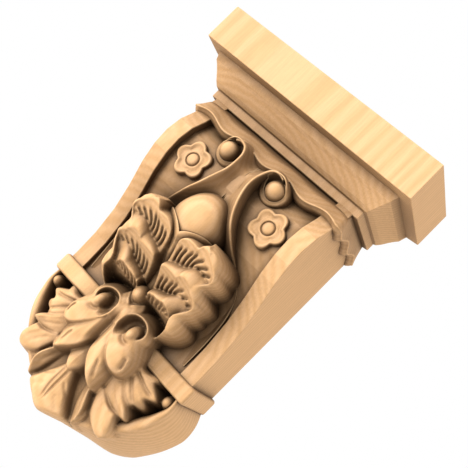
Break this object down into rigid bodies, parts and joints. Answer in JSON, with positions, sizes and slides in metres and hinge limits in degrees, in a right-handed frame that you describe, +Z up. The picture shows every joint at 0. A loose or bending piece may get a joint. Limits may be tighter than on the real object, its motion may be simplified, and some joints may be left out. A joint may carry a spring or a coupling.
{
  "type": "ornamental bracket",
  "caption": "Carved wooden wall bracket with a moulded cap, a scrolled body, ribbon curls, flowers, an acorn, leaf clusters, a strap and a cup of acanthus leaves",
  "frame": {"origin": "middle of the flat back face, on the wall plane", "axes": "+Z up along the wall, +Y into the wall, -Y out of the wall towards the viewer, +X to the viewer's right"},
  "size_m": [0.2, 0.0974, 0.3125],
  "materials": {
    "carved_wood": "satin, hand carved, honey coloured"
  },
  "bodies": {
    "root": {"carved_bracket": "carved_wood"}
  },
  "joints": []
}
